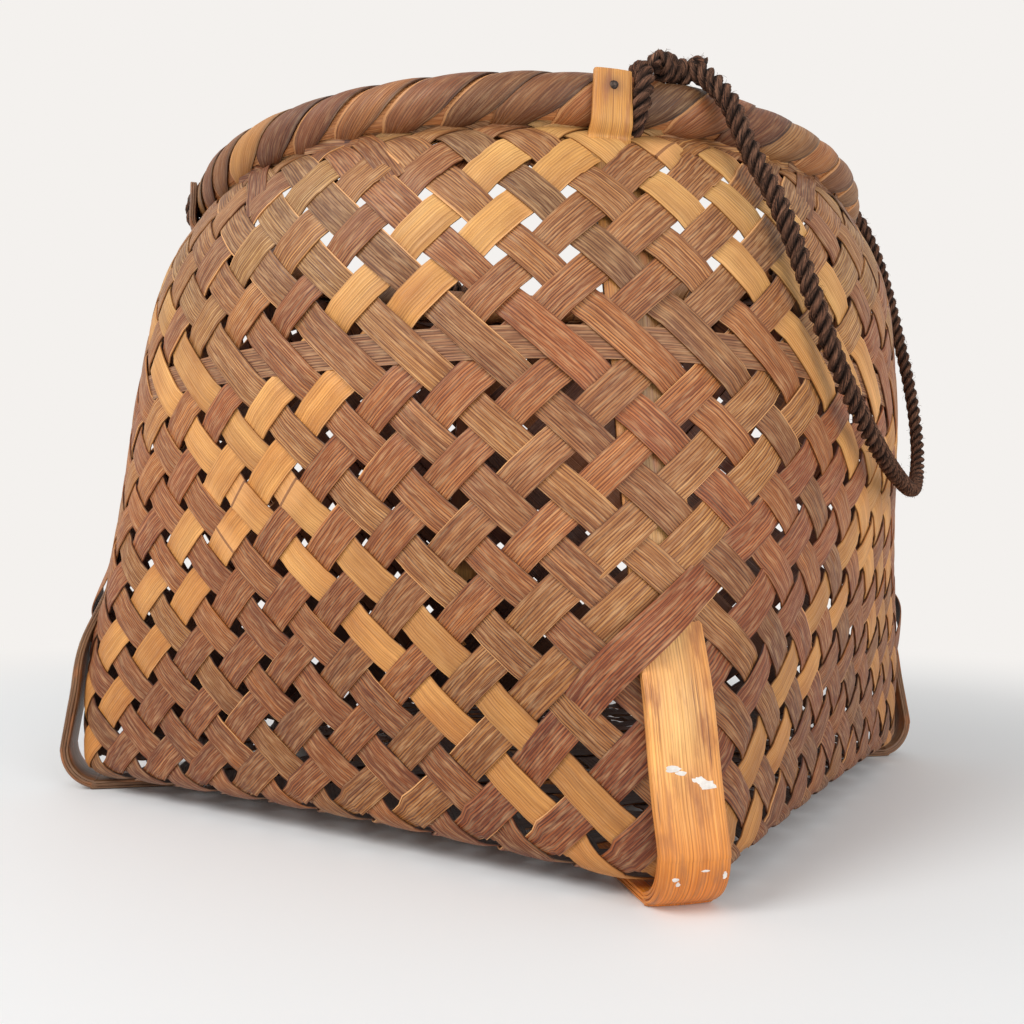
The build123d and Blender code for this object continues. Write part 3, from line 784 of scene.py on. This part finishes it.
# Splashes of white paint on the near corner's rib: place across and height, then their sizes
PAINT_SPLASHES = [
    (-4.6, 41.5, 2.6, 1.0), (-2.4, 40.2, 1.8, 0.7), (2.2, 38.2, 2.4, 1.5), (5.2, 36.6, 2.8, 1.5),
    (2.2, 14.0, 1.6, 0.5), (8.8, 12.5, 0.7, 1.3), (-6.2, 12.0, 1.1, 0.6), (-5.2, 10.6, 0.7, 0.9)]


def make_paint_splashes(centres, normal, sideways):
    """Thin uneven flakes of old white paint on the outer face of the near rib."""
    parts = []
    steps = 14
    heights = centres[:len(centres) // 2, 2]
    for across, height, wide, tall in PAINT_SPLASHES:
        # The nearest ring at that height, but not one under the base
        row = np.abs(heights - height + 200 * (heights < 3)).argmin()
        out = -normal[row]
        along = np.cross(out, sideways)
        middle = centres[row] + sideways * across + out * (RIB_THICKNESS / 2 + 0.18)
        middle += along * (height - centres[row, 2]) / max(abs(along[2]), 0.3) * np.sign(along[2])
        rim = []
        for angle in circle(steps):
            size = random.uniform(0.7, 1.15)
            rim.append(middle + around(sideways * wide, along * tall, angle) * size)
        points = np.array(rim + [point - out * 0.6 for point in rim] + [middle + out * 0.14])
        pairs = [(step, (step + 1) % steps) for step in range(steps)]
        faces = [(one, two, 2 * steps) for one, two in pairs]
        faces += [(one, one + steps, two + steps, two) for one, two in pairs]
        parts.append((points, faces, {"grain": points}))
    add_mesh("paint_splashes", merge(parts), paint_material)


def make_rim_hoop(side, node_name):
    """One of the two hoops inside the wrapping, clasping the tops of the strands."""
    turn = circle(144)
    ring = []
    for angle in np.linspace(-pi / 2, pi / 2, 12):
        reach = RIM_RADIUS + side * (1.8 + 7.0 * cos(angle)) + 0.15 * np.sin(turn * 7)
        ring.append(polar(reach, turn, np.full_like(turn, RIM_HEIGHT + 8.4 * sin(angle))))
    add_mesh("hoop_" + node_name, bamboo(
        np.stack(ring[::side], axis=1), turn * RIM_RADIUS, np.arange(12.0) * 1.8, 5.0, True,
        tint=tint_of((226, 158, 98)), pale=0.6), wrap_material, node_name)


def make_wrapping():
    """Strips wound aslant round the rim, each lapping over the next and pinched under the roll."""
    strips = merge([wrap_strip(strip) for strip in range(WRAP_STRIPS)])
    add_mesh("rim_wrapping", strips, wrap_material, "rim_wrap")


def wrap_strip(strip):
    """One strip, once round the roll from the inner underside, while it goes its advance along the rim."""
    t = np.linspace(0, 1, WRAP_STEPS)
    turn = -pi / 2 - 0.5 + t * (2 * pi - 0.1)
    start = strip * 2 * pi / WRAP_STRIPS + random.uniform(-0.008, 0.008)
    along = start + (t - 0.08) * STRIP_ADVANCE / RIM_RADIUS + 0.010 * np.sin(turn + 1.2)
    width = STRIP_WIDTH * random.uniform(0.8, 1.08) / RIM_RADIUS
    pinch = 1 - 0.40 * np.exp(-((np.sin(turn) + 1) / 0.28) ** 2)
    swell = wobble(t * 70, 18, 0.12)
    shares = np.array([-0.5, -0.4, -0.2, 0.0, 0.2, 0.4, 0.5])
    columns = []
    for face in (1, -1):
        for share in shares[::face]:
            angle = along + share * width * pinch
            lap = 0.5 * (share + 0.5) + 0.55 * (1 - (2 * share) ** 2)
            radius = ROLL_SHOWN - 0.75 + lap + swell + face * 0.3
            reach = RIM_RADIUS + radius * np.cos(turn)
            columns.append(polar(reach, angle, RIM_HEIGHT + radius * np.sin(turn)))
    across = np.append(shares, shares[::-1])
    brown = random.random() < 0.9
    colour = tint_of(random.choice(BROWN) if brown else PALE[1], random.uniform(0.36, 0.90))
    # Painted shadow: a dark edge where the next strip laps over this one
    colour = colour * np.interp(across, (0.2, 0.4, 0.5), (1, 0.8, 0.3))[:, None]
    edged = random.choice((0, 1, 1))
    return bamboo(np.stack(columns, axis=1), t * 86, across * 14.5, strip * 17.0, tint=colour,
                  pale=0.1 if brown else 0.8, edge=across * edged < -0.45)


def make_nails():
    """Hand-made nails through the straps: a low uneven head on a short shank."""
    parts = []
    for quarter in range(4):
        side, outward, sideways = corner_frame(quarter)
        reach = RIM_RADIUS + ROLL_SHOWN + STRAP_THICKNESS
        foot = outward * reach + sideways * side * STRAP_SHIFT + UP * (RIM_HEIGHT + NAIL_ABOVE_RIM)
        rings = []
        for out, radius in NAIL_PROFILE:
            for turn in circle(16):
                size = radius * (1 + 0.05 * sin(3 * turn + quarter))
                rings.append(foot + outward * out + around(sideways, UP, turn) * size)
        rings = np.array(rings)
        parts.append((rings, strip_faces(len(NAIL_PROFILE), 16), {"grain": rings}))
    add_mesh("strap_nails", merge(parts), nail_material, "rim_nails")


# Ropes

def route_samples(route, name):
    """Points along the NURBS curve that has the route as its control points, in millimetres."""
    curve = bpy.data.curves.new(name, "CURVE")
    curve.dimensions = "3D"
    curve.resolution_u = 16
    spline = curve.splines.new("NURBS")
    spline.points.add(len(route) - 1)
    for point, place in zip(spline.points, route):
        point.co = (*(place * MM), 1)
    spline.order_u = 3
    spline.use_endpoint_u = True
    holder = place_object(name, curve)
    bpy.context.view_layer.update()
    mesh = bpy.data.meshes.new_from_object(holder.evaluated_get(bpy.context.evaluated_depsgraph_get()))
    points = np.array([vertex.co for vertex in mesh.vertices]) / MM
    bpy.data.objects.remove(holder)
    bpy.data.meshes.remove(mesh)
    return points


def resample(points, spacing, closed=False):
    """Even steps along a line: its points, how far each is along it, and its whole length."""
    if closed:
        points = np.vstack([points, points[:1]])
    run = lengths(points)
    count = max(round(run[-1] / spacing), 4)
    at = np.linspace(0, run[-1], count + 1)
    out = np.stack([np.interp(at, run, points[:, axis]) for axis in range(3)], -1)
    last = -1 if closed else None
    return out[:last], at[:last], run[-1]


def carried_frames(points, closed=False):
    """Two directions across a line of points, carried along it without twist."""
    ahead = np.roll(points, -1, axis=0) - np.roll(points, 1, axis=0)
    tangents = unit(ahead if closed else np.gradient(points, axis=0))
    first = unit(np.cross(tangents[0], (0.31, 0.17, 0.93)))
    firsts = np.empty_like(tangents)
    for row, tangent in enumerate(tangents):
        firsts[row] = first = unit(first - tangent * (first @ tangent))
    return tangents, firsts, np.cross(tangents, firsts)


def laid_rope(line, closed=False, spacing=1.1, seed=0, hairs_per_mm=1.6, diameter=ROPE_DIAMETER,
              fullness=((0, 1), (1, 1))):
    """Rope of twisted strands along a line, with loose fibres standing off it."""
    points, at, total = resample(line, spacing, closed)
    tangents, first, second = carried_frames(points, closed)
    # What a closed rope's frame has turned by when it is back at the start
    gap = 0.0
    if closed:
        close = first[-1] - tangents[0] * (first[-1] @ tangents[0])
        gap = atan2(close @ second[0], close @ first[0])
    lays = max(round(total / LAY_LENGTH), 1) if closed else total / LAY_LENGTH
    twist = (2 * pi * lays - gap) * at / total
    full = np.interp(at / total, *fullness)
    corners = circle(9)
    parts = []
    for strand, start in enumerate(circle(STRAND_COUNT)):
        centre = points + around(first, second, twist + start) * (diameter * STRAND_OFFSET * full)[:, None]
        ring = []
        radius = diameter * STRAND_RADIUS * full * (1 + wobble(at, 6, 0.03))
        for corner in corners:
            ring.append(centre + around(first, second, corner + twist) * radius[:, None])
        across = corners * diameter * STRAND_RADIUS + at[:, None] * 0.9
        # How far each point of a strand faces in toward the rope's middle, where strands meet; the material
        # darkens this as painted shade
        groove = np.clip(1 - np.cos(corners - start) / 0.8, 0, 1)
        parts.append(tube(np.stack(ring, axis=1), at, across, strand * 31.0 + seed * 97.0, closed,
                          groove=groove))
    for _ in range(int(total * hairs_per_mm)):
        row = noise.integers(1, len(points) - 1)
        angle = noise.uniform(0, 2 * pi)
        out = around(first[row], second[row], angle)
        aside = np.cross(out, tangents[row]) * noise.uniform(-1, 1) + tangents[row] * noise.uniform(-1.2, 1.2)
        root = points[row] + out * diameter * 0.36 * full[row]
        reach = noise.uniform(0.5, 2.0)
        tip = root + out * reach + aside * noise.uniform(0.8, 2.6)
        middle = (root + tip) / 2 + out * noise.uniform(0.2, 0.7)
        parts.append(hair((root, middle, tip), 0.075))
    return merge(parts), points


def hair(line, radius):
    """Thin three-sided fibre through three points."""
    run = line[-1] - line[0]
    side = unit(np.cross(run, (0.3, 0.5, 0.8)))
    other = unit(np.cross(run, side))
    rings = []
    for point, share in zip(line, (1.0, 0.8, 0.35)):
        for angle in circle(3):
            rings.append(point + around(side, other, angle) * radius * share)
    rings = np.array(rings)
    return rings, strip_faces(3, 3), {"grain": rings, "groove": np.zeros(9)}


def turned(points, mirror):
    """Half a turn about the vertical axis, for the left handle's pieces."""
    return np.asarray(points) * ((-1, -1, 1) if mirror else (1, 1, 1))


def add_rope(name, node_name, rope, body="basket"):
    return add_mesh(name, rope, rope_fibre, node_name, body, 60)


def make_handle(name, node_name, body, mirror, seed):
    route = turned(ROPE_ROUTE, mirror)
    rope, line = laid_rope(route_samples(route, name + "_route"), seed=seed, fullness=ROPE_FULLNESS)
    piece = add_rope(name, node_name, rope, body)


def lashing_line(quarter):
    """Loop round the roll, beside the strap at a corner, leaning a little to one side."""
    side, outward, sideways = corner_frame(quarter)
    centre = outward * RIM_RADIUS - sideways * side * LASHING_SHIFT + UP * RIM_HEIGHT
    turn = circle(72)
    radius = ROLL_SHOWN - 0.7 + ROPE_DIAMETER / 2
    return centre + around(outward * radius, UP * radius - sideways * side * 1.8, turn)


def make_lashing(quarter, corner_name):
    rope, _ = laid_rope(lashing_line(quarter), closed=True, seed=10 + quarter, hairs_per_mm=1.2,
                        diameter=ROPE_DIAMETER * 1.1)
    add_rope("lashing_rope_" + corner_name, "lashing_" + corner_name, rope)


def knot_line(end):
    """Rope's way in the knot: over from the lashing, twice round the rope's end, and out to a short stub."""
    exit_point = np.array(ROPE_ROUTE[0 if end < 0 else -1])
    lean = radians(22)
    away = np.array([-sin(lean), end * cos(lean), 0.0])
    across = np.array([cos(lean), end * sin(lean), 0.0])
    heart = exit_point - UP * 3.2 - across * 0.4 + away * 1.5
    points = [heart + away * 16 - UP * 3.5 + across * 2.5, heart + away * 14.5 + UP * 0.5 + across * 1.0]
    turns = 2.6
    for t in np.linspace(0, 1, 21):
        angle = pi * (0.75 - 2 * turns * t)
        radius = 2.9 + 0.4 * sin(7 * t)
        points.append(heart + away * (12.0 - 12.0 * t) + around(across, UP, angle) * radius)
    points += [heart - away * 1.0 + across * 4.2 + UP * 2.4, heart - away * 3.0 + across * 8.5 + UP * 1.6]
    return flow(points, 4)


def make_knot(quarter, corner_name):
    end, mirror = corner_frame(quarter)[0], quarter > 1
    line = turned(knot_line(end), mirror)
    rope, _ = laid_rope(line, spacing=0.9, seed=20 + end + 5 * mirror, hairs_per_mm=2.5, diameter=5.0)
    add_rope("knot_rope_" + corner_name, "knot_" + corner_name, rope)


# Camera, floor and light

def make_camera():
    level = np.array([cos(CAMERA_YAW), sin(CAMERA_YAW), 0.0])
    forward = around(np.cross(UP, level), UP, CAMERA_PITCH)
    upright = np.cross(level, forward)
    right, up = around(level, upright, CAMERA_ROLL), around(upright, -level, CAMERA_ROLL)
    camera = place_object("camera", bpy.data.cameras.new("camera"))
    place = np.identity(4)
    place[:3] = np.stack([right, up, -forward, CAMERA_PLACE], axis=1)
    camera.matrix_world = Matrix(place)
    camera.data.sensor_width = SENSOR
    camera.data.lens = FOCAL_PIXELS / IMAGE_PIXELS * SENSOR
    camera.data.clip_start = 0.01
    bpy.context.scene.camera = camera


def add_lamp(name, place, size, power, colour):
    data = bpy.data.lights.new(name, "AREA")
    data.shape = "DISK"
    data.size = size
    data.energy = power
    data.color = colour
    lamp = place_object(name, data)
    lamp.location = place
    lamp.rotation_euler = (Vector(LAMP_TARGET) - Vector(place)).to_track_quat("-Z", "Y").to_euler()


BACKGROUND = (244, 241, 238)
FLOOR_REACH = 6.0
LAMP_TARGET = (0, 0, 0.12)


def make_stage():
    """Pale floor, which far from the basket is seen in the background's own colour, and soft light."""
    floor_mesh = bpy.data.meshes.new("floor")
    corners = [(x * FLOOR_REACH, y * FLOOR_REACH, 0) for x, y in ((-1, -1), (1, -1), (1, 1), (-1, 1))]
    floor_mesh.from_pydata(corners, [], [(0, 1, 2, 3)])
    floor = place_object("floor", floor_mesh)
    tree = Tree(bpy.data.materials.new("floor_pale"))
    shader = tree.nodes["Principled BSDF"]
    tree.feed(shader, {"Base Color": (240, 245, 249), "Roughness": 0.7})
    reach = tree.add("VectorMath", {0: tree.add("TexCoord", {}, "Object")}, "Value", operation="LENGTH")
    far = tree.add("MapRange", {"Value": reach, "From Min": 0.22, "From Max": 0.8}, "Result",
                   interpolation_type="SMOOTHSTEP")
    plain = tree.add("Emission", {"Color": BACKGROUND})
    seen = tree.add("LightPath", {}, "Is Camera Ray")
    surface = tree.add("MixShader", {0: tree.math("MULTIPLY", far, seen), 1: shader.outputs[0], 2: plain})
    tree.feed(tree.nodes["Material Output"], {"Surface": surface})
    floor_mesh.materials.append(tree.owner)
    # The world is seen at full strength, and lights the basket at less
    world = Tree(bpy.data.worlds.new("world"))
    bpy.context.scene.world = world.owner
    seen = 0.0
    for ray in ("Is Camera Ray", "Is Glossy Ray", "Is Transmission Ray"):
        seen = world.math("MAXIMUM", seen, world.add("LightPath", {}, ray))
    strength = world.add("MapRange", {"Value": seen, "To Min": 0.62, "To Max": 1.0}, "Result")
    world.feed(world.nodes["Background"], {"Strength": strength, "Color": BACKGROUND})
    add_lamp("window_left", (-0.45, -1.3, 1.15), 0.9, 15.2, (1.0, 0.98, 0.95))
    add_lamp("fill_right", (1.35, -0.8, 0.6), 1.0, 8.8, (1.0, 0.99, 0.98))
    bpy.context.scene.view_settings.view_transform = "Standard"


strand_material = bamboo_material("bamboo_strand")
rib_material = bamboo_material("bamboo_rib", groove=0.35, gloss=0.36, fibre=0.7, stains=0.6)
wrap_material = bamboo_material("bamboo_wrapping", gloss=0.5, fibre=0.6, edge_colour=(206, 146, 92))
rope_fibre = rope_material()
nail_material = solid_material("nail_iron", (46, 40, 38), (92, 78, 70), 900, 0.5, 0.8)
paint_material = solid_material("old_paint", (236, 232, 226), (214, 206, 198), 500, 0.6)

make_camera()
make_stage()
for number in range(1, ROUND_CELLS + 1):
    make_strand(number)
make_strand_ends()
make_waist_hoop()
near_rib = make_rib(0, "rib_near_far", "corner_rib_near_far", 0.0, (RIB_PALE, RIB_WARM, STRAP_COLOUR), 1)
make_rib(1, "rib_right_left", "corner_rib_right_left", RIB_THICKNESS + 0.3, (RIB_DULL,) * 3, 2)
make_paint_splashes(*near_rib)
make_wrapping()
make_rim_hoop(1, "rim_outer_hoop")
make_rim_hoop(-1, "rim_inner_hoop")
make_nails()
make_handle("right_handle_rope", "right_rope", "right_handle", False, 1)
make_handle("left_handle_rope", "left_rope", "left_handle", True, 2)
for make_piece in (make_lashing, make_knot):
    for quarter, corner_name in enumerate(("near", "right", "far", "left")):
        make_piece(quarter, corner_name)
